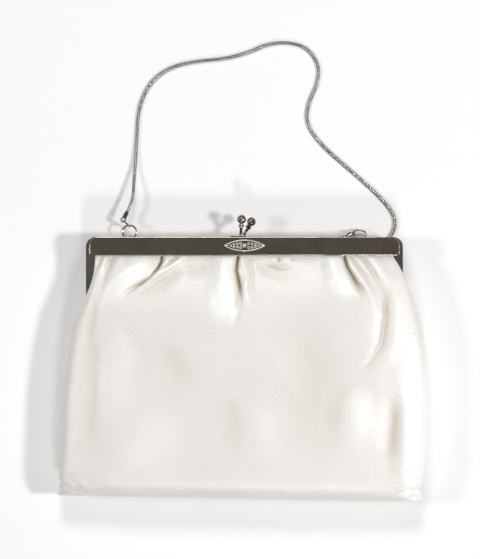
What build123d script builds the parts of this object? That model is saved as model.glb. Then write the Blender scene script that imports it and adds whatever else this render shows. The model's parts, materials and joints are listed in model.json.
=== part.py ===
"""Evening clutch: gathered satin pouch on a hinged metal frame with a ball clasp and a snake chain.

The clutch lies on its back. X runs across the frame, Y runs up towards the clasp and Z runs up from the
surface it lies on. Lengths are in millimetres and angles in degrees.
"""

import math
import os

from build123d import *

os.makedirs("parts", exist_ok=True)

# Overall layout
frame_width = 200.0  # outside of the rear half
frame_gap = 0.4  # between the two halves when shut, and between their legs
mid_height = 19.0  # shut plane above the surface
half_depth = 7.0  # from the shut plane to a band's face
pouch_drop = 165.0  # from the frame's top edge to the pouch's bottom
clasp_rise = 14.1  # from the frame's top edge to the top of the tall ball

# Sheet metal frame
sheet = 0.8
cloth_channel = 2.0  # clear depth between flange and band
leg_flange = 7.0
frame_corner = 6.0
hinge_drop = 50.0
flange_stop = 5.0  # flange ends this far above the hinge
ear_radius = 3.6

# Bands on the faces
band_setback = 2.5  # from the rear half's side to the band's end
band_height = 11.6
band_corner = 5.5
band_toe = 1.2
band_soft = 0.4

# Hinge rivets
rivet_radius = 1.2
rivet_running = 0.06
rivet_head_radius = 2.2
rivet_head = 0.7
washer_radius = 2.6
washer = 0.3
head_gap = 0.1

# Ball clasp
ball_radius = 2.9
rear_ball = (-1.76, 20.5)  # across and above the surface
front_ball = (4.4, 9.7, 17.5)  # across, above the frame's edge, above the surface
stem_radius = 0.95
collar_radius = 1.75
collar_length = 1.1
collar_drop = 1.5  # of ball radii below the ball's centre
clasp_plate_left = -8.5
clasp_plate_right = 1.0
clasp_plate_thick = 1.0
clasp_plate_depth = 2.6
clasp_plate_gap = 1.2  # from the shut plane to a foot
rear_foot_x = -2.2
front_foot_x = -0.1
rear_knee_step = (0.15, 6.2, 1.8)  # a stem's bend from its foot
front_knee_step = (1.7, 4.4, -1.2)

# Crest plaque
plaque_length = 26.2
plaque_height = 7.5
plaque_base = 0.7
plaque_relief = 0.6
plaque_rim = 0.75
well_inset = 1.9  # from the plaque's point to the well's
scroll_radius = 1.15
scroll_wall = 0.5
scrolls = [(3.2, 1.0), (5.9, 0.85), (8.2, 0.6)]  # place from the middle, size
boss_half = 2.15
boss_radius = 1.35

# Chain fittings
lug_inset = 24.7  # from the band's end
lug_width = 1.6
lug_radius = 1.75
lug_hole = 1.0
lug_hole_drop = 1.05
lug_stand = 1.9  # hole centre behind the rear band
ring_radius = 4.35
ring_wire = 0.55
left_ring_tilt = 0.0
right_ring_tilt = 49.0
left_hook = 100.0  # place of the link on its ring
right_hook = 165.0
left_link_lead = (-0.73, 0.69, 0.0)  # direction of the link from its ring
right_link_lead = (-0.86, -0.48, -0.06)
left_cap_lead = (0.45, 0.89, 0.0)  # direction of the cap from its link
right_cap_lead = (-1.0, 0.0, 0.0)
link_half = 3.0
link_rise = 1.6
link_wire = 0.5
eye_radius = 1.45
eye_wire = 0.42
link_play = 0.3
cap_radius = 1.5
cap_length = 4.0
chain_diameter = 2.2
chain_lead = 8.0
chain_tail = 4.3

# Pouch cloth
cloth = 1.2
cloth_start = 2.0
mouth_clear = 0.3  # from the band's lower edge to the gathers
channel_clear = 0.3
tuck_clear = 0.2
lining_cloth = 0.6
lining_start = 3.0
lining_short = 5.5  # lining ends this far above the pouch's bottom
slit_half = 1.5
slit_drop = 56.0
side_start = 30.0
fold_relief = 1.0  # scales every fold's depth
squareness = 4.2  # of a section: 2 is an ellipse
bottom_share = 0.1  # lowest share of the pouch, where the wall turns in
skin_overrun = 0.4  # the inside runs on above the first section
tuck_inset = 4.1  # from the band's end to the tucked cloth's side
side_steps = (0.0, 0.22, 0.42, 0.6, 0.74)  # heights of a section's side points
flat_share = 0.88  # of a section's half width, drawn in even steps
flat_count = 56
fold_fade = 0.08  # of the half width, where folds run out

# Sections of the front: drop from the first one, reach beyond the frame's side, rise above the shut plane
front_sections = [
    (0.0, -5.8, 6.0),
    (1.5, -5.0, 7.2),
    (4.6, -3.4, 9.4),
    (10.1, -1.2, 11.8),
    (18.1, 2.0, 14.2),
    (28.1, 5.2, 16.0),
    (40.1, 9.2, 17.2),
    (56.1, 12.6, 18.1),
    (78.1, 14.6, 18.8),
    (103.1, 15.6, 19.0),
    (128.1, 16.0, 18.6),
    (140.1, 16.0, 17.6),
    (147.6, 15.0, 15.2),
    (151.5, 12.8, 12.0),
    (153.1, 9.8, 8.0),
]

# The same for the back, which the frame's weight flattens on the surface
back_sections = [
    (0.0, -5.8, 6.0),
    (1.5, -5.0, 8.2),
    (4.6, -3.4, 13.4),
    (7.6, -2.1, 17.6),
    (10.6, -1.0, 19.1),
    (18.1, 2.0, 19.3),
    (28.1, 5.2, 19.3),
    (40.1, 9.2, 19.3),
    (56.1, 12.6, 19.3),
    (78.1, 14.6, 19.3),
    (103.1, 15.6, 19.3),
    (128.1, 16.0, 19.3),
    (140.1, 16.0, 19.0),
    (147.6, 15.0, 16.4),
    (151.5, 12.8, 12.6),
    (153.1, 9.8, 8.0),
]

# The lining hangs clear inside, and passes between the legs
lining_sections = [
    (0.0, -10.5, 2.8),
    (8.0, -10.5, 2.8),
    (13.0, -10.5, 4.5),
    (27.0, -10.2, 9.0),
    (43.0, -9.0, 11.5),
    (53.0, -6.0, 12.5),
    (69.0, 4.0, 13.4),
    (87.0, 8.5, 14.2),
    (112.0, 10.0, 14.6),
    (137.0, 10.0, 14.4),
    (148.0, 8.5, 12.8),
    (154.0, 4.5, 9.0),
    (156.5, 0.0, 5.0),
]

# Folds: across at the band, across at the end, drop at the start, drop at the end, half width, depth
folds = [
    (-72.0, -92.0, 12.3, 62.0, 8.0, 1.7),
    (-52.0, -84.0, 12.3, 56.0, 5.0, -2.3),
    (-35.0, -72.0, 12.3, 84.0, 7.5, 2.3),
    (-19.0, -30.0, 12.3, 60.0, 5.0, -1.1),
    (-9.5, -13.0, 12.3, 66.0, 5.5, 2.0),
    (-2.2, 1.5, 12.3, 56.0, 3.8, -2.6),
    (5.0, 7.0, 12.3, 66.0, 4.5, 1.7),
    (27.5, 26.0, 12.3, 30.0, 3.6, -1.5),
    (56.0, 62.0, 12.3, 64.0, 6.5, 1.9),
    (62.5, 78.0, 12.3, 58.0, 4.0, -2.4),
    (74.0, 96.0, 12.3, 74.0, 6.5, 1.9),
    (91.0, 66.0, 30.0, 104.0, 6.5, -1.6),
    (-60.0, -20.0, 96.0, 150.0, 16.0, 0.7),
    (78.0, 84.0, 84.0, 150.0, 14.0, 0.9),
]

# Chain route: across, above the frame's top edge, above the surface
chain_route = [
    (-70.2, 35.5, 5.6),
    (-69.2, 48.0, 1.9),
    (-68.4, 64.0, 1.15),
    (-67.2, 83.0, 1.12),
    (-60.0, 98.8, 1.1),
    (-47.0, 108.4, 1.12),
    (-30.0, 112.2, 1.1),
    (-12.0, 113.6, 1.12),
    (3.0, 117.6, 1.1),
    (14.5, 123.0, 1.12),
    (27.0, 124.2, 1.1),
    (39.5, 121.2, 1.12),
    (47.6, 110.0, 1.1),
    (46.8, 98.0, 1.12),
    (40.0, 84.0, 1.1),
    (39.6, 71.0, 1.12),
    (50.5, 57.0, 1.1),
    (70.8, 39.8, 1.12),
    (90.4, 22.0, 1.15),
    (97.2, 10.0, 1.25),
    (94.0, -2.5, 1.2),
    (86.5, -10.8, 1.15),
    (77.0, -14.6, 1.12),
    (65.5, -16.2, 1.3),
    (57.2, -16.0, 1.6),
    (53.6, -13.7, 1.9),
    (51.8, -9.8, 2.2),
    (52.5, -5.5, 2.5),
]

frame_top = (pouch_drop - clasp_rise) / 2
front_face = mid_height + half_depth
rear_face = mid_height - half_depth
flange_front = front_face - sheet - cloth_channel
front_half_width = frame_width / 2 - sheet - frame_gap
band_half = frame_width / 2 - band_setback
lug_offset = band_half - lug_inset


def at(x, up, z):
    """A point given from the middle of the frame's top edge."""
    return Vector(x, frame_top + up, z)


def rounded_blank(half, top, bottom, corner, toe=0.0):
    """A flat blank from top to bottom, measured up from the frame's top edge, with rounded corners."""
    blank = Pos(0, (top + bottom) / 2) * Rectangle(2 * half, top - bottom)
    blank = fillet(blank.vertices().group_by(Axis.Y)[-1], corner)
    if toe > 0:
        blank = fillet(blank.vertices().group_by(Axis.Y)[0], toe)
    return Pos(0, frame_top) * blank


def across(radius, length, x, up, z):
    """A round bar along X, centred on a point."""
    return Pos(at(x, up, z)) * Rot(0, 90, 0) * Cylinder(radius, length)


def mirrored(solid):
    """The same piece on the other side of the shut plane."""
    return mirror(solid, about=Plane.XY.offset(mid_height))


def frame_half(half, hole):
    """One half of the frame: a bent strip with a wide flange, and an ear at the foot of each leg."""
    wall_low = mid_height + frame_gap / 2
    wall_rise = flange_front - wall_low
    outside = rounded_blank(half, 0, -hinge_drop, frame_corner)
    inside = rounded_blank(half - sheet, -sheet, -hinge_drop - sheet, frame_corner - sheet)
    wall = Pos(0, 0, wall_low) * extrude(outside - inside, wall_rise)
    flange_end = -hinge_drop + flange_stop
    flange_blank = rounded_blank(half, 0, flange_end, frame_corner)
    window = rounded_blank(half - leg_flange, -band_height + sheet, flange_end - sheet, frame_corner)
    flange = Pos(0, 0, flange_front - sheet) * extrude(flange_blank - window, sheet)
    body = wall + flange
    for side in (-1, 1):
        x = side * (half - sheet / 2)
        body += across(ear_radius, sheet, x, -hinge_drop, mid_height)
    for side in (-1, 1):
        x = side * (half - sheet / 2)
        body -= across(hole, 2 * sheet, x, -hinge_drop, mid_height)
    return body


def band():
    """Front cover plate with a return along its top and ends, open below for the gathered cloth."""
    half = band_half
    blank = rounded_blank(half, 0, -band_height, band_corner, band_toe)
    plate = Pos(0, 0, front_face - sheet) * extrude(blank, sheet)
    rim_edges = plate.faces().sort_by(Axis.Z)[-1].edges()
    plate = fillet(rim_edges, band_soft)
    hollow = rounded_blank(half - sheet, -sheet, -band_height - sheet, band_corner - sheet)
    trimmed = rounded_blank(half, 0, -band_height + band_toe, band_corner)
    rim = Pos(0, 0, flange_front) * extrude(trimmed - hollow, cloth_channel)
    return plate + rim


def hinge_rivet(side):
    """Rivet through both ears, with a head inside and one outside."""
    outer = frame_width / 2
    inner = front_half_width - sheet - head_gap
    middle = side * (outer + inner) / 2
    bar = across(rivet_radius, outer - inner, middle, -hinge_drop, mid_height)
    for place in (outer + rivet_head / 2, inner - rivet_head / 2):
        bar += across(rivet_head_radius, rivet_head, side * place, -hinge_drop, mid_height)
    return bar


def hinge_washer(side):
    """Thin washer in the gap between the ears, against the rear one."""
    x = side * (frame_width / 2 - sheet - washer / 2)
    ring = across(washer_radius, washer, x, -hinge_drop, mid_height)
    return ring - across(rivet_radius, 2 * washer, x, -hinge_drop, mid_height)


def clasp_plate(z):
    """Small foot on the frame's top edge."""
    length = clasp_plate_right - clasp_plate_left
    middle = (clasp_plate_right + clasp_plate_left) / 2
    foot = Pos(at(middle, clasp_plate_thick / 2, z)) * Box(length, clasp_plate_thick, clasp_plate_depth)
    return fillet(foot.faces().sort_by(Axis.Y)[-1].edges(), clasp_plate_thick / 4)


def clasp_finger(foot_x, foot_z, knee, centre):
    """Bent stem with a collar and a ball, one turned and bent piece."""
    start = at(foot_x, clasp_plate_thick, foot_z)
    lean = (centre - knee).normalized()
    path = Spline(start, knee, centre, tangents=[Vector(0, 1, 0), lean])
    stem = sweep(Plane(origin=start, z_dir=(0, 1, 0)) * Circle(stem_radius), path=path)
    collar_at = centre - lean * (collar_drop * ball_radius)
    collar = Plane(origin=collar_at, z_dir=lean) * Cylinder(collar_radius, collar_length)
    return stem + collar + Pos(centre) * Sphere(ball_radius)


def marquise(length, height):
    """Pointed oval blank."""
    reach = length / 2
    rise = height / 2
    upper = ThreePointArc((-reach, 0), (0, rise), (reach, 0))
    lower = ThreePointArc((reach, 0), (0, -rise), (-reach, 0))
    return make_face(upper + lower)


def crest_plaque():
    """Pierced pointed oval with a raised rim, paired scrolls and a middle boss."""
    outline = marquise(plaque_length, plaque_height)
    well = marquise(plaque_length - 2 * well_inset, plaque_height - 2 * plaque_rim)
    body = extrude(outline, plaque_base)
    body += Pos(0, 0, plaque_base) * extrude(outline - well, plaque_relief)
    body += Pos(0, -plaque_height / 2, 0) * extrude(Circle(plaque_rim), plaque_base)
    body += Pos(0, 0, plaque_base) * extrude(Ellipse(boss_half, boss_radius), plaque_relief)
    for side in (-1, 1):
        for step, size in scrolls:
            outer = size * scroll_radius
            inner = size * (scroll_radius - scroll_wall)
            body += Pos(side * step, 0, plaque_base) * extrude(Circle(outer), plaque_relief)
            body -= Pos(side * step, 0, 0) * Cylinder(inner, 4 * plaque_base)
    return Pos(at(0, -band_height / 2, front_face)) * body


def ring_lug(side):
    """Tab behind the rear band with a hole along X."""
    x = side * lug_offset
    height = rear_face - lug_stand
    tab = across(lug_radius, lug_width, x, -lug_hole_drop, height)
    tab += Pos(at(x, -lug_hole_drop - lug_radius / 2, height + lug_stand / 2)) * Box(
        lug_width, lug_radius, lug_stand
    )
    return tab - across(lug_hole, 2 * lug_width, x, -lug_hole_drop, height)


def ring_plane(side, tilt):
    """Plane of a ring that hangs from its lug's hole, tilted down from level."""
    pivot = at(side * lug_offset, -lug_hole_drop, rear_face - lug_stand)
    turn = math.radians(tilt)
    out = Vector(0, math.cos(turn), -math.sin(turn))
    centre = pivot + out * ring_radius
    return Plane(origin=centre, x_dir=(1, 0, 0), z_dir=Vector(1, 0, 0).cross(out))


def ring_point(plane, angle):
    """A point on a ring's centreline."""
    turn = math.radians(angle)
    return plane.from_local_coords((ring_radius * math.cos(turn), ring_radius * math.sin(turn), 0))


def link_loop(centre, along, up):
    """Long link round two pieces: a racetrack of round wire."""
    straight = link_half - link_rise
    across_dir = along.cross(up)
    place = Plane(origin=centre, x_dir=along, z_dir=across_dir)
    track = SlotCenterToCenter(2 * straight, 2 * link_rise)
    path = place * track.wire()
    start = path @ 0
    return sweep(Plane(origin=start, z_dir=path % 0) * Circle(link_wire), path=path)


def chain_end(plane, angle, link_lead, cap_lead):
    """Link, eye and cap that lead from a ring to the chain, and the point and direction of the chain's end."""
    link_dir = Vector(link_lead).normalized()
    up = plane.z_dir - link_dir * plane.z_dir.dot(link_dir)
    up = up.normalized()
    inner = link_half - link_wire
    link_centre = ring_point(plane, angle) + link_dir * (inner - ring_wire - link_play)
    link = link_loop(link_centre, link_dir, up)
    tip = link_centre + link_dir * link_half
    cap_dir = Vector(cap_lead) - up * up.dot(Vector(cap_lead))
    cap_dir = cap_dir.normalized()
    eye_centre = tip + cap_dir * (eye_radius - eye_wire - link_wire - link_play)
    eye = Plane(origin=eye_centre, x_dir=cap_dir, z_dir=up) * Torus(eye_radius, eye_wire)
    cap_start = eye_centre + cap_dir * eye_radius
    cap_plane = Plane(origin=cap_start, z_dir=cap_dir)
    cap = cap_plane * Cylinder(cap_radius, cap_length, align=(Align.CENTER, Align.CENTER, Align.MIN))
    return link, cap + eye, cap_start + cap_dir * cap_length, cap_dir


def section_curve(half, rise, drop, folded, front):
    """Points of one cross section from the right seam over the pouch to the left seam."""
    points = []
    for share in side_steps:
        points.append((half * (1 - share**squareness) ** (1 / squareness), share))
    for step in range(flat_count + 1):
        x = half * flat_share * (1 - 2 * step / flat_count)
        points.append((x, (1 - abs(x / half) ** squareness) ** (1 / squareness)))
    for share in reversed(side_steps):
        points.append((-half * (1 - share**squareness) ** (1 / squareness), share))
    sign = 1 if front else -1
    result = []
    for x, share in points:
        z = rise * share
        if folded and share > side_steps[-1]:
            z += fold_height(x, drop) * min(1.0, (half * flat_share - abs(x)) / (fold_fade * half))
        result.append(Vector(x, frame_top - drop, mid_height + sign * z))
    return result


def fold_height(x, drop):
    """Height that the gathers add to the front at one place."""
    total = 0.0
    for top_x, end_x, begin, end, width, depth in folds:
        if begin < drop < end:
            run = (drop - begin) / (end - begin)
            middle = top_x + (end_x - top_x) * run**0.8
            swell = 6.75 * run * (1 - run) ** 2
            total += fold_relief * depth * swell * math.exp(-(((x - middle) / width) ** 2))
    return total


def half_pouch(sections, first, last, inset, overrun, folded, front):
    """Solid between the shut plane and one skin of the pouch, inset from the outside by a wall."""
    wires = []
    for below, reach, rise in sections:
        drop = first + below * (last - first) / sections[-1][0]
        share = max(0.0, (drop / last - 1 + bottom_share) / bottom_share)
        place = drop - inset * share
        if not wires:
            place -= overrun
        half = frame_width / 2 + reach
        points = section_curve(half - inset, rise - inset, place, folded, front)
        steps = [number / (len(points) - 1) for number in range(len(points))]
        skin = Edge.make_spline(points, parameters=steps)
        chord = Edge.make_line(points[-1], points[0])
        wires.append(Wire([skin, chord]))
    return Solid.make_loft(wires)


def panel(sections, front):
    """One satin panel: a gathered skin with the frame's place cut out of it."""
    mouth = band_height + mouth_clear
    outer = half_pouch(sections, mouth, pouch_drop, 0.0, 0.0, front, front)
    inner = half_pouch(sections, mouth, pouch_drop, cloth, skin_overrun, front, front)
    skin = outer - inner
    clear = flange_front + channel_clear - mid_height
    wide = 2 * frame_width
    top_cut = Pos(0, frame_top - side_start / 2, mid_height) * Box(wide, side_start + 2 * cloth, 2 * clear)
    leg_room = frame_width + 2 * channel_clear
    leg_cut = Pos(0, frame_top - slit_drop / 2, mid_height) * Box(leg_room, slit_drop, 2 * clear)
    slit = Pos(0, frame_top - slit_drop / 2, mid_height) * Box(wide, slit_drop, 2 * slit_half)
    skin = skin - top_cut - leg_cut - slit
    tuck_low = flange_front + channel_clear
    tuck_high = front_face - sheet - tuck_clear
    tuck_run = mouth - cloth_start
    tuck_place = at(0, -cloth_start - tuck_run / 2, (tuck_low + tuck_high) / 2)
    tuck = Pos(tuck_place) * Box(2 * (band_half - tuck_inset), tuck_run, tuck_high - tuck_low)
    skin = skin + (tuck if front else mirrored(tuck))
    if not front:
        below = Pos(0, 0, -pouch_drop / 2) * Box(wide, 2 * pouch_drop, pouch_drop)
        skin = skin - below
    return skin


def lining():
    """Thin bag inside the satin, open between the legs."""
    halves = []
    last = pouch_drop - lining_short
    for front in (True, False):
        outer = half_pouch(lining_sections, lining_start, last, 0.0, 0.0, False, front)
        inner = half_pouch(lining_sections, lining_start, last, lining_cloth, skin_overrun, False, front)
        halves.append(outer - inner)
    return halves[0] + halves[1]


def corner_radii(points):
    """A bend radius for each inner point that leaves straight runs on both sides."""
    radii = []
    for before, here, after in zip(points, points[1:], points[2:]):
        run_in = here - before
        run_out = after - here
        turn = math.radians(run_in.get_angle(run_out))
        shorter = min(run_in.length, run_out.length)
        radii.append(0.45 * shorter / math.tan(turn / 2))
    return radii


def snake_chain(start, start_dir, end, end_dir):
    """Plain cord for the chain, from one cap's end to the other's."""
    route = [at(*point) for point in chain_route]
    points = [start, start + start_dir * chain_lead]
    points += route
    points += [end + end_dir * chain_tail, end]
    radii = corner_radii(points)
    print("chain radii", [round(r, 1) for r in radii])
    path = FilletPolyline(*points, radius=radii)
    print("chain length", round(path.length, 1))
    cord = sweep(Plane(origin=points[0], z_dir=path % 0) * Circle(chain_diameter / 2), path=path)
    print("chain volume share", cord.volume / (path.length * math.pi * chain_diameter**2 / 4))
    return cord


def save(solid, name):
    """Write one piece to its own file."""
    solid.label = name
    export_step(solid, f"parts/{name}.step")
    print(name, len(solid.solids()), round(solid.volume, 2), solid.is_valid)


# Frame halves, bands and hinge
running_hole = rivet_radius + rivet_running
save(frame_half(front_half_width, running_hole), "front_frame")
save(mirrored(frame_half(frame_width / 2, rivet_radius)), "back_frame")
save(band(), "front_band")
save(mirrored(band()), "back_band")
for name, side in (("left", -1), ("right", 1)):
    save(hinge_rivet(side), f"hinge_rivet_{name}")
    save(hinge_washer(side), f"hinge_washer_{name}")

# Clasp
plate_gap = clasp_plate_depth / 2 + clasp_plate_gap
front_plate_z = mid_height + plate_gap
rear_plate_z = mid_height - plate_gap
save(clasp_plate(front_plate_z), "clasp_plate_front")
save(clasp_plate(rear_plate_z), "clasp_plate_back")
front_centre = at(*front_ball)
rear_centre = at(rear_ball[0], clasp_rise - ball_radius, rear_ball[1])
front_knee = at(front_foot_x, 0, front_plate_z) + Vector(front_knee_step)
rear_knee = at(rear_foot_x, 0, rear_plate_z) + Vector(rear_knee_step)
save(clasp_finger(front_foot_x, front_plate_z, front_knee, front_centre), "clasp_ball_front")
save(clasp_finger(rear_foot_x, rear_plate_z, rear_knee, rear_centre), "clasp_ball_back")
save(crest_plaque(), "crest_plaque")

# Chain and its fittings
left_plane = ring_plane(-1, left_ring_tilt)
right_plane = ring_plane(1, right_ring_tilt)
left_link, left_cap, chain_start, start_dir = chain_end(left_plane, left_hook, left_link_lead, left_cap_lead)
right_link, right_cap, chain_finish, finish_dir = chain_end(right_plane, right_hook, right_link_lead, right_cap_lead)
for name, side, plane in (("left", -1, left_plane), ("right", 1, right_plane)):
    save(ring_lug(side), f"ring_lug_{name}")
    save(plane * Torus(ring_radius, ring_wire), f"ring_{name}")
save(left_link, "link_left")
save(right_link, "link_right")
save(left_cap, "end_cap_left")
save(right_cap, "end_cap_right")
save(snake_chain(chain_start, start_dir, chain_finish, finish_dir), "snake_chain")

# Cloth
save(panel(front_sections, True), "front_panel")
save(panel(back_sections, False), "back_panel")
save(lining(), "lining")
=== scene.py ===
"""Evening clutch: satin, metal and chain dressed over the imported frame, seen from straight above."""

import json
import math

import bmesh
import bpy
import numpy as np
from bpy.props import FloatProperty, FloatVectorProperty, IntProperty, PointerProperty
from mathutils import Matrix, Vector, noise


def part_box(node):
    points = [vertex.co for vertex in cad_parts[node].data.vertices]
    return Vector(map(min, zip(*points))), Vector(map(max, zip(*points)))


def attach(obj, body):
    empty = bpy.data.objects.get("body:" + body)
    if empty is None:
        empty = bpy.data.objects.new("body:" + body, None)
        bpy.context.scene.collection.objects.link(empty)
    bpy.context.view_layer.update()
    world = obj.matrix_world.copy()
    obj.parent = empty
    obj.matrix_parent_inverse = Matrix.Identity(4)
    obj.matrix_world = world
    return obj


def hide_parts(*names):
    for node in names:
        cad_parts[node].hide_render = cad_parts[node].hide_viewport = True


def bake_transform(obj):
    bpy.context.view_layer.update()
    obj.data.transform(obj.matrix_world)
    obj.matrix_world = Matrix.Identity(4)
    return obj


bl_info = {
    "name": "Evening Clutch",
    "version": (1, 0, 0),
    "blender": (4, 5, 0),
    "location": "View3D > Sidebar > Clutch",
    "description": "Dresses a gathered satin clutch on a hinged metal frame with its chain",
    "category": "Add Mesh",
}

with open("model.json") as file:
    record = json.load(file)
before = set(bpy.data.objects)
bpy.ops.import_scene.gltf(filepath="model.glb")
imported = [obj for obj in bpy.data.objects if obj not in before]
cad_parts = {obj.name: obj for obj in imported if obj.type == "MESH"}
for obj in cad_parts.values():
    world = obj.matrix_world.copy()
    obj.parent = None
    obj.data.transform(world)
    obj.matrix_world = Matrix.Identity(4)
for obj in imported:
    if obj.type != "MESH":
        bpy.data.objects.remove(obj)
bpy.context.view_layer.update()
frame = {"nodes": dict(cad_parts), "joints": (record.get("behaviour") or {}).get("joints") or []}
MM = 0.001

# Places taken from the frame, in metres
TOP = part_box("back_frame")[1].y
HINGE_Y, SHUT = next(j for j in frame["joints"] if j["name"] == "frame_hinge")["pos_m"][1:]
BAND_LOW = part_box("front_band")[0].y
BAND_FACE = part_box("front_band")[1].z

# Picture, in millimetres: its height in the plane of the band, its middle across and above the frame's top edge,
# and the camera sensor's width
VIEW_SPAN = 351.6
VIEW_MIDDLE = (-2.8, -26.8)
SENSOR = 36.0

# Lamps: name, place in metres, width in metres, share of the key power
LAMPS = (
    ("right", (1.35, -0.1, 1.6), 0.26, 1.3),
    ("left", (-1.5, 0.1, 1.4), 0.4, 0.62),
    ("low", (0.2, -1.5, 1.5), 0.36, 0.66),
    ("high", (-0.15, 1.5, 1.9), 0.7, 1.2),
)
LAMP_AIM = Vector((0, 0, 0.02))

# Cloth in millimetres: drop of the band's lower edge, heights of the side seam and of the edges in the frame
BAND_DROP = (TOP - BAND_LOW) / MM
SEAM_HEIGHT = 19.0
EDGE_FRONT = 23.7
EDGE_BACK = 14.3
# Drop at which the side edges leave the frame, and the drop over which they come together
SEAM_START = 20.0
SEAM_SPAN = 34.0
# Least height and greatest drop of the cloth, and how much lower its bottom is at the right than in the middle
FLOOR_GAP = 0.25
HEM_DROP = 166.4
HEM_SLANT = 2.2
HALF_WIDTH = 116.0
# Grid: power that crowds columns at the sides; even share, crowded share and power of the rows
SIDE_EASE = 9
ROW_EASE = (0.55, 0.45, 2.2)
# Power of a section's curve at the bottom, its rise at the band, and the drop over which that rise fades
SECTION_POWER = (4.0, 9.0, 9.0)
# Fold: share of its width at the start, and growth; start's length and lowest share; end's length
FOLD_WIDTH = (0.8, 0.5)
FOLD_START = (0.25, 0.15)
FOLD_END = 0.55
# Waves in the cloth: waves per millimetre across and down, and height
SLACK_WIDE = (0.032, 0.026, 0.7)
SLACK_FINE = (0.11, 0.07, 0.22)
RUFFLE = (0.16, 0.3, 3.4)
RUFFLE_ASIDE = 1.8
# Lining: inset from the satin's sides, shares of the back's depth and of the satin's length,
# room for the front's creases, and least share of the front's height
LINING_INSET = 6.5
LINING_DEPTH = 0.72
LINING_LENGTH = 0.955
LINING_ROOM = 5.6
LINING_LEAST = 0.2

# Shape of the chain's ribs, three points to a ring, and the length in millimetres of its turn under the frame
RIB = (0.78, 1.0, 1.0)
TURN_LENGTH = 36

# Scrolls of one side of the plaque, in millimetres: place along, place up, radius
PLAQUE_SCROLLS = [(2.5, 1.25, 1.0), (4.7, 1.05, 0.92), (6.8, 0.75, 0.75), (8.7, 0.0, 0.8)]

# The chain's route from the left cap to the right one: across, above the frame's top edge, above the surface
CHAIN_ROUTE = [
    (-74.37, 15.85, 10.1),
    (-70.76, 22.99, 10.1),
    (-70.2, 35.5, 5.6),
    (-69.2, 48.0, 1.9),
    (-68.4, 64.0, 1.15),
    (-67.2, 83.0, 1.12),
    (-60.0, 98.8, 1.1),
    (-47.0, 108.4, 1.12),
    (-30.0, 112.2, 1.1),
    (-12.0, 113.6, 1.12),
    (3.0, 117.6, 1.1),
    (14.5, 123.0, 1.12),
    (27.0, 124.2, 1.1),
    (39.5, 121.2, 1.12),
    (47.6, 110.0, 1.1),
    (46.8, 98.0, 1.12),
    (40.0, 84.0, 1.1),
    (39.6, 71.0, 1.12),
    (50.5, 57.0, 1.1),
    (70.8, 39.8, 1.12),
    (90.4, 22.0, 1.15),
    (97.2, 10.0, 1.25),
    (92.0, -2.0, 1.2),
    (84.0, -10.0, 1.15),
    (77.0, -14.6, 1.12),
    (65.5, -16.2, 1.3),
    (57.2, -16.0, 1.6),
    (53.6, -13.7, 1.9),
    (51.8, -9.8, 2.2),
    (52.5, -5.5, 2.5),
    (55.35, -2.28, 2.78),
    (59.31, -1.18, 4.03),
]

# Outline of the pouch as it lies: drop below the frame's edge, reach to the left, reach to the right
OUTLINE = [
    (8.0, 93.0, 93.0),
    (12.0, 93.8, 93.6),
    (17.0, 94.2, 96.6),
    (24.0, 95.2, 100.2),
    (32.0, 97.6, 103.8),
    (40.0, 101.4, 107.0),
    (50.0, 106.4, 110.4),
    (65.0, 109.6, 113.6),
    (80.0, 112.2, 115.0),
    (102.0, 114.6, 115.4),
    (128.0, 115.6, 115.0),
    (144.0, 116.6, 113.8),
    (153.0, 117.0, 111.8),
    (158.0, 116.4, 110.6),
    (162.0, 116.6, 111.6),
    (166.0, 117.6, 113.8),
]

# Height of the front along its middle: drop below the frame's edge, height above the surface
FRONT_LINE = [
    (8.0, 24.3),
    (11.6, 24.3),
    (12.6, 25.2),
    (14.6, 26.8),
    (18.0, 28.6),
    (24.0, 30.8),
    (32.0, 32.8),
    (42.0, 34.4),
    (54.0, 35.6),
    (70.0, 36.5),
    (92.0, 37.1),
    (115.0, 37.3),
    (138.0, 37.0),
    (150.0, 36.3),
    (158.0, 34.2),
    (162.6, 30.4),
    (164.6, 25.0),
    (165.2, 19.0),
]

# The same for the back, which lies flat on the surface
BACK_LINE = [
    (8.0, 13.7),
    (11.6, 13.7),
    (12.6, 12.0),
    (14.0, 9.2),
    (16.5, 5.4),
    (19.5, 1.6),
    (22.5, 0.5),
    (30.0, 0.3),
    (52.0, 0.3),
    (80.0, 0.3),
    (110.0, 0.3),
    (140.0, 0.3),
    (151.0, 0.9),
    (158.5, 3.6),
    (162.4, 7.6),
    (164.4, 12.6),
    (165.0, 19.0),
]

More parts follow.
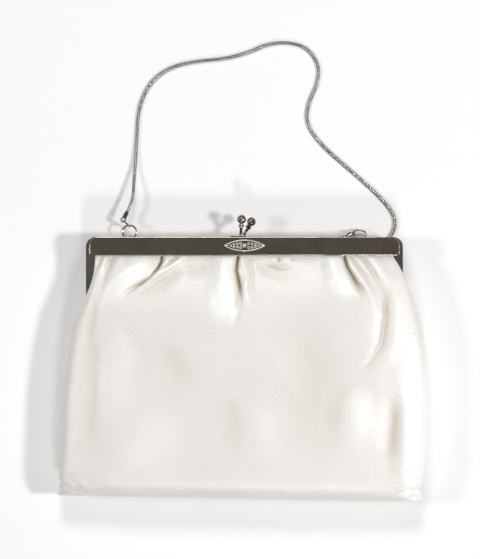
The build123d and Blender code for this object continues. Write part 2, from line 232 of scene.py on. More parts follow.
# Folds of the front: depth, width to the left, width to the right, path as across and drop
FOLDS = [
    # Left fan
    (-3.6, 1.3, 0.9, [
        (-51.9, 10.8), (-52.1, 15.8), (-54.3, 20.2), (-58.7, 25.2), (-65.0, 29.6),
        (-71.3, 33.4), (-77.0, 37.8), (-82.7, 42.8),
    ]),
    (4.2, 5.7, 8.8, [
        (-65.7, 10.1), (-66.9, 15.2), (-72.0, 19.6), (-78.2, 25.2), (-85.2, 32.1),
        (-90.8, 39.7), (-94.6, 49.1),
    ]),
    (1.6, 1.5, 1.9, [
        (-48.1, 10.8), (-49.3, 15.8), (-53.1, 20.8), (-59.4, 26.5), (-66.3, 31.5),
        (-73.2, 36.5),
    ]),
    (2.2, 1.4, 1.9, [
        (-37.7, 10.8), (-41.1, 14.5), (-45.5, 17.7), (-50.6, 20.8), (-58.1, 25.2),
        (-65.7, 29.6),
    ]),
    (-1.3, 1.1, 1.1, [(-43.0, 10.8), (-46.2, 14.8), (-49.9, 18.6), (-55.6, 22.7)]),
    (-1.5, 4.4, 5.7, [(-38.0, 17.0), (-45.5, 23.3), (-54.3, 30.3), (-63.8, 36.5), (-70.7, 41.6)]),
    (1.6, 1.6, 2.0, [
        (-87.1, 10.8), (-88.3, 15.8), (-91.5, 22.1), (-94.6, 30.3), (-97.7, 39.7),
        (-100.9, 52.3), (-104.0, 68.0),
    ]),
    (-1.5, 2.2, 2.5, [
        (-83.0, 10.8), (-85.2, 17.0), (-87.7, 24.6), (-90.2, 33.4), (-92.7, 42.8),
        (-95.9, 61.7), (-97.1, 90.0),
    ]),
    (-1.1, 1.4, 1.4, [(-90.2, 10.8), (-91.5, 15.8), (-93.7, 21.4), (-96.5, 29.6)]),
    (-0.9, 2.5, 2.5, [(-66.3, 12.6), (-69.4, 15.8), (-72.6, 18.9)]),
    (-0.7, 1.9, 1.9, [(-66.9, 12.0), (-61.3, 13.0), (-55.0, 13.3)]),
    (0.9, 1.9, 3.1, [(-77.6, 10.8), (-80.1, 17.0), (-83.3, 24.6)]),
    # Middle crease
    (-4.2, 2.0, 1.1, [
        (-3.5, 10.8), (-4.5, 16.8), (-4.9, 21.3), (-3.8, 25.8), (-2.8, 31.1),
        (-2.5, 37.4), (-3.2, 47.2),
    ]),
    (-0.9, 2.8, 1.9, [(-2.8, 34.7), (-3.4, 42.8), (-5.3, 53.5), (-6.5, 64.8)]),
    (1.4, 1.1, 1.8, [(-2.3, 10.8), (-0.5, 19.5), (1.3, 25.8), (0.1, 30.9), (0.8, 39.1), (2.6, 49.8)]),
    (4.4, 6.3, 7.9, [(-12.2, 10.1), (-13.5, 18.3), (-14.1, 30.3), (-14.7, 42.8), (-16.6, 61.7)]),
    (-0.9, 1.5, 1.6, [(2.9, 12.0), (4.5, 22.1), (4.2, 33.4), (6.0, 46.0)]),
    (-1.1, 5.7, 5.7, [(-24.8, 15.8), (-31.1, 20.8), (-38.0, 24.6)]),
    (-1.0, 5.7, 5.7, [(6.0, 15.8), (16.1, 20.8), (29.9, 24.6), (42.5, 20.8)]),
    # Pucker
    (-1.9, 0.8, 0.8, [(21.1, 10.8), (21.5, 13.9), (21.8, 17.0)]),
    (1.1, 1.9, 1.3, [(17.7, 11.4), (19.5, 15.2)]),
    (1.2, 1.6, 2.0, [(24.9, 11.4), (27.4, 15.5)]),
    (-0.9, 1.6, 2.0, [(13.6, 16.4), (21.8, 19.2), (33.7, 18.3)]),
    (-0.7, 1.3, 1.3, [(29.9, 10.8), (31.2, 15.8)]),
    # Right pleat
    (-4.2, 2.0, 1.2, [
        (62.8, 10.8), (64.6, 18.6), (67.3, 23.5), (70.0, 28.4), (73.2, 33.0),
        (75.0, 38.4), (74.3, 43.5),
    ]),
    (1.7, 1.3, 1.9, [
        (64.2, 10.8), (66.1, 15.8), (69.4, 21.3), (73.7, 27.2), (77.3, 33.0),
        (79.9, 39.2), (81.7, 48.5), (82.1, 58.6),
    ]),
    (-1.6, 1.1, 1.1, [(66.4, 12.0), (71.8, 19.6), (76.5, 25.5), (80.3, 31.2), (82.8, 37.4)]),
    (1.5, 1.1, 1.3, [(68.3, 10.8), (74.0, 17.4), (79.0, 24.9), (82.8, 32.8)]),
    (-1.8, 1.4, 1.5, [(73.3, 10.8), (79.6, 20.2), (84.0, 28.4), (85.9, 36.5)]),
    (2.0, 2.5, 3.8, [(77.1, 10.8), (83.7, 19.6), (88.4, 29.6), (89.7, 39.7)]),
    (-2.3, 1.8, 4.4, [
        (85.3, 30.9), (87.8, 39.7), (88.8, 48.5), (87.8, 56.0), (86.2, 66.7),
        (80.9, 75.5), (74.0, 83.1), (67.7, 91.3),
    ]),
    (1.6, 3.1, 5.0, [(92.8, 24.6), (94.7, 39.7), (94.1, 58.6), (90.3, 72.4), (82.8, 83.7), (75.2, 92.5)]),
    (1.3, 5.0, 5.0, [(80.3, 39.7), (81.5, 52.3), (79.0, 64.8), (71.5, 74.9)]),
    (-1.0, 7.5, 5.7, [(67.7, 88.8), (61.4, 100.1), (56.4, 115.2), (54.5, 140.3)]),
    (4.2, 5.7, 7.5, [(53.8, 10.1), (55.1, 18.3), (58.2, 26.5), (62.6, 34.7), (65.8, 43.5)]),
    (-0.7, 3.8, 3.8, [(46.3, 14.5), (52.6, 20.8), (55.7, 29.6)]),
    (1.8, 8.8, 10.1, [(67.7, 93.8), (71.5, 115.2), (72.7, 141.6)]),
    (-2.1, 6.9, 5.7, [(94.1, 97.6), (92.8, 127.7), (91.0, 160.5)]),
    # Slack of the body
    (-1.1, 3.8, 4.4, [(-91.5, 58.6), (-93.3, 90.0), (-94.6, 121.5), (-92.7, 146.6)]),
    (0.9, 10.1, 11.3, [(-78.2, 146.6), (-59.4, 127.7), (-37.4, 102.6)]),
    (-0.7, 7.5, 7.5, [(-49.9, 68.0), (-40.5, 85.0), (-24.8, 97.6)]),
    (-0.7, 13.8, 13.8, [(35.0, 58.6), (43.8, 83.7), (43.8, 115.2), (47.6, 151.7)]),
    (0.9, 11.3, 11.3, [(-79.5, 68.0), (-82.0, 102.6), (-83.3, 127.7)]),
    (-0.6, 6.3, 6.3, [(-10.3, 99.4), (-7.8, 121.5), (-5.3, 143.5)]),
    (0.6, 7.5, 7.5, [(11.1, 102.6), (14.8, 127.7), (17.4, 149.8)]),
    (0.7, 6.3, 6.3, [(-83.3, 61.7), (-75.1, 71.1), (-65.7, 85.0)]),
]


def at(across, up, height):
    """A point in metres from millimetres across, above the frame's top edge and above the surface."""
    return Vector((across * MM, TOP + up * MM, height * MM))


def to_linear(code):
    """Linear colour of an sRGB hex value."""
    parts = [int(code[i : i + 2], 16) / 255 for i in (1, 3, 5)]
    return tuple(c / 12.92 if c <= 0.04045 else ((c + 0.055) / 1.055) ** 2.4 for c in parts)


def curve_through(points, value):
    """Smooth rise of one column over the first, read at the given value or values."""
    x = np.array([p[0] for p in points], float)
    fine = np.linspace(x[0], x[-1], 60 * len(x))
    read = []
    for column in range(1, len(points[0])):
        y = np.array([p[column] for p in points], float)
        slope = np.gradient(y, x)
        index = np.clip(np.searchsorted(x, fine) - 1, 0, len(x) - 2)
        run = x[index + 1] - x[index]
        t = (fine - x[index]) / run
        smooth = (
            (2 * t**3 - 3 * t**2 + 1) * y[index]
            + (t**3 - 2 * t**2 + t) * run * slope[index]
            + (3 * t**2 - 2 * t**3) * y[index + 1]
            + (t**3 - t**2) * run * slope[index + 1]
        )
        read.append(np.interp(value, fine, smooth))
    return read[0] if len(read) == 1 else read


def add(tree, kind, inputs=(), **settings):
    """Adds a node with its settings, and links or sets its inputs."""
    node = tree.nodes.new(kind)
    for name, value in settings.items():
        setattr(node, name, value)
    for name, value in dict(inputs).items():
        if isinstance(value, bpy.types.NodeSocket):
            tree.links.new(value, node.inputs[name])
        else:
            node.inputs[name].default_value = value
    return node


def ramp(node, stops):
    """Sets a colour ramp's stops from (place, linear colour) pairs."""
    elements = node.color_ramp.elements
    while len(elements) < len(stops):
        elements.new(0.5)
    for element, (place, colour) in zip(elements, stops):
        element.position = place
        element.color = (*colour, 1.0)
    return node


def new_material(name):
    """Empty material with a Principled shader on its output."""
    material = bpy.data.materials.new(name)
    material.use_nodes = True
    tree = material.node_tree
    tree.nodes.clear()
    shader = add(tree, "ShaderNodeBsdfPrincipled")
    add(tree, "ShaderNodeOutputMaterial", {"Surface": shader.outputs["BSDF"]})
    return material, tree, shader


def mixed(tree, share, first, second):
    """Output of a colour mix that an attribute drives."""
    part = add(tree, "ShaderNodeAttribute", attribute_name=share).outputs["Fac"]
    settings = {"Factor": part, "A": first, "B": (*second, 1.0)}
    return add(tree, "ShaderNodeMix", settings, data_type="RGBA").outputs["Result"]


def satin(name, colour, shade, painted_gloss, crease):
    """Duchess satin, silk face outwards: long floats give a soft stretched sheen over a fine cross weave; crests get a
    painted highlight and creases a painted shade.
    """
    material, tree, shader = new_material(name)
    place = add(tree, "ShaderNodeTexCoord").outputs["Object"]
    cloudy = add(tree, "ShaderNodeTexNoise", {"Vector": place, "Scale": 14.0, "Detail": 3.0})
    tint = ramp(
        add(tree, "ShaderNodeValToRGB", {"Fac": cloudy.outputs["Fac"]}),
        [(0.3, shade), (0.72, colour)],
    )
    # Painted highlight: crests are mixed towards a paler colour, where light would shine on them
    lit = mixed(tree, "crest", tint.outputs["Color"], painted_gloss)
    # Painted shade: creases, hollows and the left side are mixed towards a darker, warmer colour, as light between the
    # sides of a crease would be
    warm = mixed(tree, "crease", lit, crease)
    tree.links.new(warm, shader.inputs["Base Color"])
    shader.inputs["Roughness"].default_value = 0.38
    shader.inputs["Specular IOR Level"].default_value = 1.0
    shader.inputs["Sheen Weight"].default_value = 0.2
    shader.inputs["Sheen Roughness"].default_value = 0.4
    # Single threads are too fine to show: the grain is slubs 1 mm apart and floats 4.5 mm long and 1.1 mm wide
    grain = add(tree, "ShaderNodeTexNoise", {"Vector": place, "Scale": 1 / (1.0 * MM), "Detail": 3.0})
    along = add(tree, "ShaderNodeMapping", {"Vector": place, "Scale": (220.0, 900.0, 500.0)})
    floats = add(tree, "ShaderNodeTexNoise", {"Vector": along.outputs["Vector"], "Scale": 1.0, "Detail": 2.0})
    both = add(tree, "ShaderNodeMath", {0: floats.outputs["Fac"], 1: grain.outputs["Fac"]}, operation="ADD")
    relief = {"Height": both.outputs["Value"], "Strength": 0.8, "Distance": 0.24 * MM}
    bump = add(tree, "ShaderNodeBump", relief)
    tree.links.new(bump.outputs["Normal"], shader.inputs["Normal"])
    return material


def nickel(name, colour, roughness, scratch):
    """Nickel plate over pressed steel or brass, buffed: a clear reflection broken by hairline scratches."""
    material, tree, shader = new_material(name)
    place = add(tree, "ShaderNodeTexCoord").outputs["Object"]
    shader.inputs["Metallic"].default_value = 1.0
    wear = add(tree, "ShaderNodeTexNoise", {"Vector": place, "Scale": 90.0, "Detail": 4.0})
    tint = ramp(
        add(tree, "ShaderNodeValToRGB", {"Fac": wear.outputs["Fac"]}),
        [(0.3, tuple(0.82 * c for c in colour)), (0.7, colour)],
    )
    tree.links.new(tint.outputs["Color"], shader.inputs["Base Color"])
    spread = {"Value": wear.outputs["Fac"], "To Min": roughness * 0.7, "To Max": roughness * 1.5}
    rough = add(tree, "ShaderNodeMapRange", spread)
    tree.links.new(rough.outputs["Result"], shader.inputs["Roughness"])
    # Hairlines 17 mm long and 0.7 mm apart, coarser than real ones so that they show
    stretched = add(tree, "ShaderNodeMapping", {"Vector": place, "Scale": (60.0, 1400.0, 900.0)})
    lines = add(tree, "ShaderNodeTexNoise", {"Vector": stretched.outputs["Vector"], "Scale": 1.0, "Detail": 2.0})
    relief = {"Height": lines.outputs["Fac"], "Strength": scratch, "Distance": 0.05 * MM}
    bump = add(tree, "ShaderNodeBump", relief)
    tree.links.new(bump.outputs["Normal"], shader.inputs["Normal"])
    return material


def paint(obj, material):
    """Gives a piece or a CAD node one material."""
    if not obj.material_slots:
        obj.data.materials.append(material)
    for place in obj.material_slots:
        place.link = "OBJECT"
        place.material = material


def finished(bm, name, material, smooth=True):
    """Turns a bmesh into a linked object with its place in its mesh."""
    bmesh.ops.recalc_face_normals(bm, faces=bm.faces)
    mesh = bpy.data.meshes.new(name)
    bm.to_mesh(mesh)
    bm.free()
    obj = bpy.data.objects.new(name, mesh)
    bpy.context.scene.collection.objects.link(obj)
    mesh.polygons.foreach_set("use_smooth", [smooth] * len(mesh.polygons))
    mesh.materials.append(material)
    return obj


def rise(value, start, span):
    """Straight rise from 0 to 1 over a span."""
    return np.clip((value - start) / span, 0, 1)


def waves(across, drop, size, seed):
    """Height of a soft random swell at each point."""
    wide, long, high = size
    return high * np.array([noise.noise(Vector((a * wide, d * long, seed))) for a, d in zip(across, drop)])


def fold_height(across, drop):
    """Height in millimetres that the gathers add to the front."""
    total = np.zeros_like(across)
    for depth, left, right, path in FOLDS:
        spots = np.array(path)
        lengths = np.hypot(*np.diff(spots, axis=0).T)
        starts = np.concatenate([[0], np.cumsum(lengths)])
        nearest = np.full(across.shape, 1e9)
        aside = np.zeros_like(across)
        run = np.zeros_like(across)
        for index, size in enumerate(lengths):
            ahead = (spots[index + 1] - spots[index]) / size
            dx = across - spots[index, 0]
            dy = drop - spots[index, 1]
            part = np.clip(dx * ahead[0] + dy * ahead[1], 0, size)
            off_x = dx - part * ahead[0]
            off_y = dy - part * ahead[1]
            gap = np.hypot(off_x, off_y)
            closer = gap < nearest
            nearest = np.where(closer, gap, nearest)
            aside = np.where(closer, off_x * ahead[1] - off_y * ahead[0], aside)
            run = np.where(closer, (starts[index] + part) / starts[-1], run)
        width = np.where(aside < 0, left, right) * (FOLD_WIDTH[0] + FOLD_WIDTH[1] * run)
        # A fold that starts at the band is full there, and any other swells out of the cloth
        begin = 1.0 if path[0][1] < BAND_DROP + 2 else np.clip(run / FOLD_START[0] + FOLD_START[1], 0, 1)
        end = np.clip((1 - run) / FOLD_END, 0, 1)
        fade = begin * end * end * (3 - 2 * end)
        total += depth * fade * np.exp(-((nearest / width) ** 2))
    return total


def pouch_surface(u, v, line, front, inset):
    """Points in millimetres of one side of the pouch: u runs from seam to seam, v from the band to the bottom."""
    table = np.array(line)
    runs = np.hypot(np.diff(table[:, 0]), np.diff(table[:, 1]))
    far = np.concatenate([[0], np.cumsum(runs)])
    along = [(f, d, z) for f, (d, z) in zip(far, line)]
    # Rows are closer together below the band
    even, crowded, power = ROW_EASE
    drop, middle = curve_through(along, (even * v + crowded * v**power) * far[-1])
    left, right = curve_through(OUTLINE, drop)
    reach = np.where(u < 0, left, right) - inset
    # A section is flat between the bands and rounder down the pouch
    low, added, fade = SECTION_POWER
    square = low + added * np.exp(-np.clip(drop - BAND_DROP, 0, None) / fade)
    near = np.abs(u)
    share = np.clip((SIDE_EASE * near - near**SIDE_EASE) / (SIDE_EASE - 1), 0, 1)
    part = np.clip(1 - share**square, 0, 1) ** (1 / square)
    joined = rise(drop, SEAM_START, SEAM_SPAN)
    joined = joined * joined * (3 - 2 * joined)
    edge_height = (EDGE_FRONT if front else EDGE_BACK) * (1 - joined) + SEAM_HEIGHT * joined
    height = edge_height + (middle - edge_height) * part
    return np.sign(u) * reach * share, drop, height, part


def keep(obj, name, values):
    """Stores a number for each point of a piece, for its material."""
    obj.data.attributes.new(name, "FLOAT", "POINT").data.foreach_set("value", values)


def pouch_half(name, material, line, front, columns, rows, inset=0.0, wall=0.0008):
    """One half of the pouch, a grid shaped to the section and line, with its folds and slack."""
    bm = bmesh.new()
    bmesh.ops.create_grid(bm, x_segments=columns, y_segments=rows, size=1.0)
    spots = np.array([v.co[:2] for v in bm.verts])
    across, drop, height, part = pouch_surface(spots[:, 0], (1 - spots[:, 1]) / 2, line, front, inset)
    folded = np.zeros_like(height)
    if front and inset == 0:
        folded = fold_height(across, drop)
        height = height + folded * rise(drop, BAND_DROP, 1.5) * (1 - rise(drop, 148.0, 14.0)) * part**3
    seed = 3.0 if front else 9.0
    slack = waves(across, drop, SLACK_WIDE, seed) + waves(across, drop, SLACK_FINE, seed + 2)
    slack *= rise(drop, 16.0, 20.0) * part**2
    height = np.maximum(height + (slack if front else 0.3 * np.abs(slack)), FLOOR_GAP)
    # The two bottom corners are crumpled
    ruffle = waves(across, drop, RUFFLE, 5.0) * rise(drop, 150.0, 9.0) * rise(np.abs(across), 94.0, 9.0)
    across = across + RUFFLE_ASIDE / RUFFLE[2] * ruffle
    height = np.maximum(height + ruffle * part**0.5, FLOOR_GAP)
    slant = HEM_SLANT * across / HALF_WIDTH * rise(drop, 130.0, 35.0)
    for vert, a, d, h in zip(bm.verts, across, np.minimum(drop + slant, HEM_DROP), height):
        vert.co = at(a, -d, h)
    obj = finished(bm, name, material)
    facing = sum(p.normal.z * p.area for p in obj.data.polygons)
    if (facing > 0) != front:
        obj.data.flip_normals()
    # Painted shade: every hollow is a little darker in colour, a crease much, and so is the left side, which turns from
    # the lamps
    painted_hollow_shade = 0.2 * np.clip(-folded / 1.2, 0, 1) * part
    crease = np.clip(-folded / 2.4 - 0.5, 0, 0.75) * part**3
    keep(obj, "crease", painted_hollow_shade + crease + 0.16 * (across < 0) * (1 - part))
    # Painted highlight: crests are paler in colour, and so is the right side, which is stretched round towards the
    # lamps
    turned = rise(across, 98.0, 5.0) * rise(drop, 60.0, 40.0)
    keep(obj, "crest", np.maximum(np.clip(folded / 2.2, 0, 1) * part**3, turned))
    thick = obj.modifiers.new("wall", "SOLIDIFY")
    thick.thickness = wall
    thick.offset = -1.0
    return obj


def route_points(points):
    """Points in metres along the smooth line that the route controls."""
    curve = bpy.data.curves.new("chain_route", "CURVE")
    curve.dimensions = "3D"
    curve.resolution_u = 16
    spline = curve.splines.new("NURBS")
    spline.points.add(len(points) - 1)
    for spot, point in zip(spline.points, points):
        spot.co = (*at(*point), 1.0)
    spline.order_u = 3
    spline.use_endpoint_u = True
    holder = bpy.data.objects.new("chain_route", curve)
    bpy.context.scene.collection.objects.link(holder)
    bpy.context.view_layer.update()
    line = bpy.data.meshes.new_from_object(holder)
    spots = np.array([v.co for v in line.vertices])
    bpy.data.objects.remove(holder)
    return spots


def resample(spots, step):
    """The same line with points a fixed step apart."""
    far = np.concatenate([[0], np.cumsum(np.linalg.norm(np.diff(spots, axis=0), axis=1))])
    count = max(2, int(round(far[-1] / step)))
    even = np.linspace(0, far[-1], count + 1)
    return np.stack([np.interp(even, far, spots[:, k]) for k in range(3)], axis=1)


def tube(bm, spots, radii, sides):
    """Draws a circle along points, with a radius for each point, and closes both ends."""
    tangent = Vector(spots[1] - spots[0]).normalized()
    normal = tangent.orthogonal().normalized()
    ring = bmesh.ops.create_circle(bm, cap_ends=False, segments=sides, radius=radii[0])["verts"]
    edges = list({e for v in ring for e in v.link_edges})
    turn = Matrix((normal, tangent.cross(normal), tangent)).transposed().to_4x4()
    bmesh.ops.transform(bm, matrix=Matrix.Translation(Vector(spots[0])) @ turn, verts=ring)
    bmesh.ops.contextual_create(bm, geom=edges)
    previous = tangent
    for index in range(1, len(spots)):
        grown = bmesh.ops.extrude_edge_only(bm, edges=edges)["geom"]
        ring = [g for g in grown if isinstance(g, bmesh.types.BMVert)]
        edges = [g for g in grown if isinstance(g, bmesh.types.BMEdge)]
        before = Vector(spots[index - 1])
        ahead = Vector(spots[min(index + 1, len(spots) - 1)] - spots[index - 1]).normalized()
        spin = previous.rotation_difference(ahead).to_matrix()
        for vert in ring:
            vert.co = Vector(spots[index]) + spin @ (vert.co - before) * (radii[index] / radii[index - 1])
        previous = ahead
    bmesh.ops.contextual_create(bm, geom=edges)


def scroll(x, y, size, start, turns):
    """Points of a flat spiral, outside to inside."""
    per_turn, inner = 18, 0.4
    steps = np.linspace(0, 1, int(abs(turns) * per_turn) + 2)
    angle = start + 2 * math.pi * turns * steps
    radius = size * (1 - (1 - inner) * steps)
    return np.stack([x + radius * np.cos(angle), y + radius * np.sin(angle)], axis=1)


class ClutchSatin(bpy.types.PropertyGroup):
    """Cloth of the pouch."""

    wall: FloatProperty(
        name="Wall",
        description="Thickness of satin and backing",
        default=0.0009,
        min=0.0002,
        precision=5,
        subtype="DISTANCE",
    )
    columns: IntProperty(name="Columns", description="Grid steps across each half", default=320, min=20)
    rows: IntProperty(name="Rows", description="Grid steps down each half", default=150, min=20)
    face: FloatVectorProperty(
        name="Satin", description="Lit face of the satin", subtype="COLOR", default=to_linear("#EDE9E4")
    )
    shade: FloatVectorProperty(
        name="Satin shade", description="Cloudy parts of the satin", subtype="COLOR", default=to_linear("#E4DFDA")
    )
    # Painted highlight colour of the fold crests
    painted_gloss: FloatVectorProperty(
        name="Satin gloss", description="Crests of the folds", subtype="COLOR", default=to_linear("#FDFBF8")
    )
    # Painted shade colour of the creases, hollows and left side
    crease: FloatVectorProperty(
        name="Satin crease", description="Depth of the creases", subtype="COLOR", default=to_linear("#927C42")
    )


class ClutchChain(bpy.types.PropertyGroup):
    """Snake chain."""

    diameter: FloatProperty(
        name="Diameter",
        description="Outside diameter of the chain",
        default=0.0022,
        min=0.0005,
        precision=5,
        subtype="DISTANCE",
    )
    pitch: FloatProperty(
        name="Pitch",
        description="Length of one ring of the chain",
        default=0.001,
        min=0.0003,
        precision=5,
        subtype="DISTANCE",
    )
    colour: FloatVectorProperty(
        name="Chain", description="Plate of the chain", subtype="COLOR", default=to_linear("#A19C94")
    )


class ClutchPlaque(bpy.types.PropertyGroup):
    """Plaque on the front band."""

    length: FloatProperty(
        name="Length",
        description="Length over the points",
        default=0.0254,
        min=0.005,
        precision=5,
        subtype="DISTANCE",
    )
    height: FloatProperty(
        name="Height",
        description="Height over the rim",
        default=0.0067,
        min=0.002,
        precision=5,
        subtype="DISTANCE",
    )
    colour: FloatVectorProperty(
        name="Openwork", description="Cast metal of the plaque", subtype="COLOR", default=to_linear("#FAF7F0")
    )


class ClutchMetal(bpy.types.PropertyGroup):
    """Plate of the frame and its fittings."""

    band: FloatVectorProperty(
        name="Bands", description="Mirror plate of the bands", subtype="COLOR", default=to_linear("#C4B8A6")
    )
    frame: FloatVectorProperty(
        name="Frame", description="Plate of the frame and hinges", subtype="COLOR", default=to_linear("#C4BEB5")
    )
    fittings: FloatVectorProperty(
        name="Fittings", description="Plate of rings, links and caps", subtype="COLOR", default=to_linear("#B5B0A7")
    )
    # Darker than the other nickel: a painted dark reflection
    clasp: FloatVectorProperty(
        name="Clasp", description="Plate of the clasp", subtype="COLOR", default=to_linear("#989389")
    )


class ClutchStage(bpy.types.PropertyGroup):
    """Camera, floor and lights."""

    distance: FloatProperty(name="Camera distance", description="Height of the camera", default=2.2, subtype="DISTANCE")
    key: FloatProperty(name="Key light", description="Power that each lamp has a share of", default=15.4, unit="POWER")
    room: FloatProperty(name="Room", description="Strength of the room's light", default=0.14)
    floor: FloatVectorProperty(
        name="Floor", description="Card that the clutch lies on", subtype="COLOR", default=to_linear("#F8F7F7")
    )


class CLUTCH_OT_stage(bpy.types.Operator):
    """Camera over the clutch, pale floor and four soft lamps"""

    bl_idname = "clutch.stage"
    bl_label = "Stage"

    def execute(self, context):
        sizes = context.scene.clutch_stage
        scene = context.scene
        scene.view_settings.view_transform = "Standard"
        camera_data = bpy.data.cameras.new("camera")
        camera = bpy.data.objects.new("camera", camera_data)
        scene.collection.objects.link(camera)
        camera_data.sensor_width = SENSOR
        camera_data.lens = SENSOR * sizes.distance / (VIEW_SPAN * MM)
        camera.location = at(*VIEW_MIDDLE, 0) + Vector((0, 0, BAND_FACE + sizes.distance))
        camera_data.clip_end = 10.0
        scene.camera = camera

        bm = bmesh.new()
        bmesh.ops.create_grid(bm, x_segments=2, y_segments=2, size=3.0)
        # Uncoated white card has no gloss to speak of, so it shows only soft shadows
        material, tree, shader = new_material("matt white card")
        shader.inputs["Base Color"].default_value = (*sizes.floor, 1.0)
        shader.inputs["Roughness"].default_value = 0.9
        shader.inputs["Specular IOR Level"].default_value = 0.1
        floor = finished(bm, "floor", material, smooth=False)

        world = bpy.data.worlds.new("room")
        scene.world = world
        world.use_nodes = True
        tree = world.node_tree
        tree.nodes.clear()
        ground = add(tree, "ShaderNodeBackground", {"Color": (1, 1, 1, 1), "Strength": sizes.room})
        add(tree, "ShaderNodeOutputWorld", {"Surface": ground.outputs["Background"]})

        for name, place, size, share in LAMPS:
            data = bpy.data.lights.new(name, "AREA")
            data.shape = "DISK"
            data.size = size
            data.energy = sizes.key * share
            lamp = bpy.data.objects.new(name, data)
            lamp.location = place
            lamp.rotation_mode = "QUATERNION"
            lamp.rotation_quaternion = (Vector(place) - LAMP_AIM).to_track_quat("Z", "Y")
            scene.collection.objects.link(lamp)
        return {"FINISHED"}


class CLUTCH_OT_chain(bpy.types.Operator):
    """Snake chain in three lengths: from each ring, and the long one between them"""

    bl_idname = "clutch.chain"
    bl_label = "Chain"

    def execute(self, context):
        sizes = context.scene.clutch_chain
        # Plated rings pressed into each other: bright edges with a dark groove at every ring
        material = nickel("nickel snake chain", sizes.colour, 0.16, 0.1)
        step = sizes.pitch / len(RIB)
        even = resample(route_points(CHAIN_ROUTE), step)
        middle = int(np.argmax(even[:, 1]))
        right = even[middle:][::-1]
        turn = round(TURN_LENGTH * MM / step)
        # The left length runs into its ring, and the turn into the right ring
        lengths = (
            ("chain_left", even[: middle + 1], "left", 25.0, 0.0),
            ("chain_turn", right[: turn + 1], "right", -15.0, -0.3),
            ("chain_right", right[turn:], "", 0.0, 0.0),
        )
        for name, part, side, begin, stop in lengths:
            bm = bmesh.new()
            radii = np.array(RIB)[np.arange(len(part)) % len(RIB)] * sizes.diameter / 2
            tube(bm, part, radii, 10)
            length = finished(bm, name, material)
            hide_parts("snake_chain")
            if side:
                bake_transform(length)
            else:
                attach(length, "back_half")
        return {"FINISHED"}


class CLUTCH_OT_pouch(bpy.types.Operator):
    """Front and back of the satin pouch with the lining inside"""

    bl_idname = "clutch.pouch"
    bl_label = "Pouch"

    def execute(self, context):
        sizes = context.scene.clutch_satin
        # Heavy satin, woven with long floats: broad soft lights on the folds, partly a painted highlight, and deep warm
        # creases, partly a painted shade
        cloth = satin("ivory duchess satin", sizes.face, sizes.shade, sizes.painted_gloss, sizes.crease)
        # Lighter satin of the same weave, a little yellower, so that the inside reads as another cloth; its last two
        # colours are a painted highlight and a painted shade
        inside = satin("ivory lining satin", *(to_linear(c) for c in ("#EFE8DD", "#E6DDD0", "#F5F0E8", "#D9C9A8")))
        front = pouch_half("satin_front", cloth, FRONT_LINE, True, sizes.columns, sizes.rows, wall=sizes.wall)
        back = pouch_half("satin_back", cloth, BACK_LINE, False, sizes.columns // 2, sizes.rows // 2, wall=sizes.wall)
        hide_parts("front_panel")
        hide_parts("back_panel")
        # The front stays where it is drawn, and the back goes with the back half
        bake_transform(front)
        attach(back, "back_half")
        thin = {"columns": 60, "rows": 50, "inset": LINING_INSET, "wall": 0.5 * MM}
        lining_front = pouch_half("lining_front", inside, FRONT_LINE, True, **thin)
        lining_back = pouch_half("lining_back", inside, BACK_LINE, False, **thin)
        for piece in (lining_front, lining_back):
            for vert in piece.data.vertices:
                gap = vert.co.z - SHUT
                if piece is lining_front:
                    # It stays clear of the satin's creases
                    gap = max(LINING_LEAST * gap, gap - LINING_ROOM * MM)
                else:
                    gap *= LINING_DEPTH
                vert.co.z = SHUT + gap
                vert.co.y = TOP + (vert.co.y - TOP) * LINING_LENGTH
            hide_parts("lining")
        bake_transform(lining_front)
        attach(lining_back, "back_half")
        return {"FINISHED"}


class CLUTCH_OT_plaque(bpy.types.Operator):
    """Pierced pointed oval: a wire rim, paired scrolls, beads and a middle flower"""

    bl_idname = "clutch.plaque"
    bl_label = "Plaque"

    def execute(self, context):
        sizes = context.scene.clutch_plaque
        low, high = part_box("crest_plaque")
        middle = ((low.x + high.x) / 2, high.y - sizes.height / 2, BAND_FACE)
        reach = sizes.length / 2 / MM
        half = sizes.height / 2 / MM
        bm = bmesh.new()

        def draw(points, radius, level):
            """One wire of the openwork; points, radius and level above the band are in millimetres."""
            flat = np.array(points)
            spots = np.stack([flat[:, 0], flat[:, 1], np.full(len(flat), level)], axis=1) * MM
            tube(bm, spots + np.array(middle), np.full(len(flat), radius * MM), 6)

        def bead(x, y, radius, level):
            """One grain of the openwork, in the same units."""
            place = Matrix.Translation(Vector(middle) + Vector((x, y, level)) * MM)
            bmesh.ops.create_uvsphere(bm, u_segments=10, v_segments=6, radius=radius * MM, matrix=place)

        # The rim's arcs pass through both points of the oval
        arc_radius = (reach**2 + half**2) / (2 * half)
        spread = math.asin(reach / arc_radius)
        angles = np.linspace(-spread, spread, 40)
        arc = np.stack([arc_radius * np.sin(angles), arc_radius * (np.cos(angles) - 1) + half], axis=1)
        for side in (-1, 1):
            rim = arc * np.array([1, side])
            draw(rim, 0.33, 0.5)
            for x, y in rim[1:-1:2]:
                bead(x, y, 0.36, 0.68)
            # Scrolls in two rows, and single ones where the oval narrows
            for x, y, size in PLAQUE_SCROLLS:
                for level in (-1, 1) if y else (1,):
                    start = math.pi / 2 * level + (0 if side > 0 else math.pi)
                    draw(scroll(side * x, level * y, size, start, -side * level * 1.15), 0.19, 0.62)
            draw([(side * 10.0, 0), (side * 12.4, 0)], 0.3, 0.6)
        # Flower of six petals in the middle, and a knob under the rim
        for turn in np.linspace(0, 2 * math.pi, 6, endpoint=False):
            bead(math.cos(turn), math.sin(turn), 0.42, 0.75)
        bead(0, 0, 0.7, 0.95)
        bead(0, -half - 0.1, 0.65, 0.45)
        # Cast and barely polished, so that it scatters light and stands out pale against the band
        lace = finished(bm, "plaque_openwork", nickel("cast white metal", sizes.colour, 0.42, 0.05))
        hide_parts("crest_plaque")
        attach(lace, "front_half")
        return {"FINISHED"}


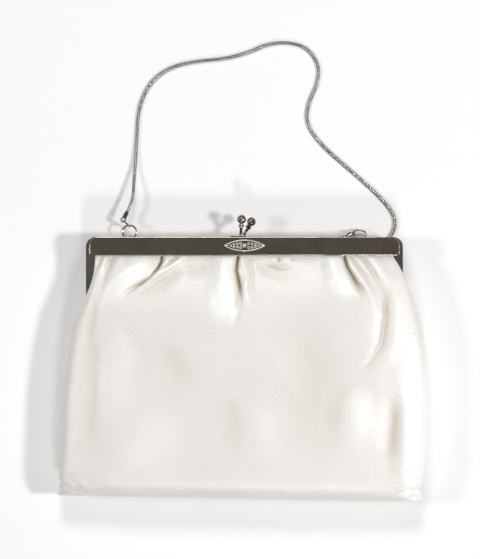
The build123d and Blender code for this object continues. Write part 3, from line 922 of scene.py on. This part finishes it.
class CLUTCH_OT_metal(bpy.types.Operator):
    """Nickel finishes of the frame, clasp and chain fittings"""

    bl_idname = "clutch.metal"
    bl_label = "Metal"

    def execute(self, context):
        colours = context.scene.clutch_metal
        # Mirror plate on flat pressed steel: it shows the dark room above, with hairlines from wear
        mirror = nickel("mirror nickel plate", colours.band, 0.1, 0.7)
        # Plate over bent steel channel, less buffed than the bands
        pressed = nickel("pressed nickel plate", colours.frame, 0.16, 0.12)
        # Plate over drawn wire, smooth from drawing: thin bright lines of light
        wire = nickel("bright nickel plate", colours.fittings, 0.08, 0.05)
        # Plate over turned brass, polished: its colour is darker than the other nickel as a painted dark reflection, so
        # that with the dark room it shows small sharp lights on near black
        turned = nickel("worn nickel on the clasp", colours.clasp, 0.06, 0.05)
        for name, node in frame["nodes"].items():
            if name.endswith("band"):
                paint(node, mirror)
            elif name.startswith("clasp"):
                paint(node, turned)
            elif name.startswith(("ring_left", "ring_right", "link", "end_cap")):
                paint(node, wire)
            elif name not in ("front_panel", "back_panel", "lining", "snake_chain", "crest_plaque"):
                paint(node, pressed)
        return {"FINISHED"}


class CLUTCH_PT_panel(bpy.types.Panel):
    """Steps of the clutch"""

    bl_idname = "CLUTCH_PT_panel"
    bl_label = "Evening Clutch"
    bl_space_type = "VIEW_3D"
    bl_region_type = "UI"
    bl_category = "Clutch"

    def draw(self, context):
        column = self.layout.column()
        for step in STEPS:
            column.operator(step)


CLASSES = (
    ClutchSatin,
    ClutchChain,
    ClutchPlaque,
    ClutchMetal,
    ClutchStage,
    CLUTCH_OT_stage,
    CLUTCH_OT_chain,
    CLUTCH_OT_pouch,
    CLUTCH_OT_plaque,
    CLUTCH_OT_metal,
    CLUTCH_PT_panel,
)
STEPS = ("clutch.stage", "clutch.chain", "clutch.pouch", "clutch.plaque", "clutch.metal")
GROUPS = {
    "clutch_satin": ClutchSatin,
    "clutch_chain": ClutchChain,
    "clutch_plaque": ClutchPlaque,
    "clutch_metal": ClutchMetal,
    "clutch_stage": ClutchStage,
}


def register():
    """Registers the classes and gives the scene their properties."""
    for cls in CLASSES:
        bpy.utils.register_class(cls)
    for name, group in GROUPS.items():
        setattr(bpy.types.Scene, name, PointerProperty(type=group))


def unregister():
    """Takes away what register adds."""
    for name in GROUPS:
        delattr(bpy.types.Scene, name)
    for cls in reversed(CLASSES):
        bpy.utils.unregister_class(cls)


def main():
    """Makes every piece in order."""
    register()
    for step in STEPS:
        group, name = step.split(".")
        getattr(getattr(bpy.ops, group), name)()


if __name__ == "__main__":
    main()
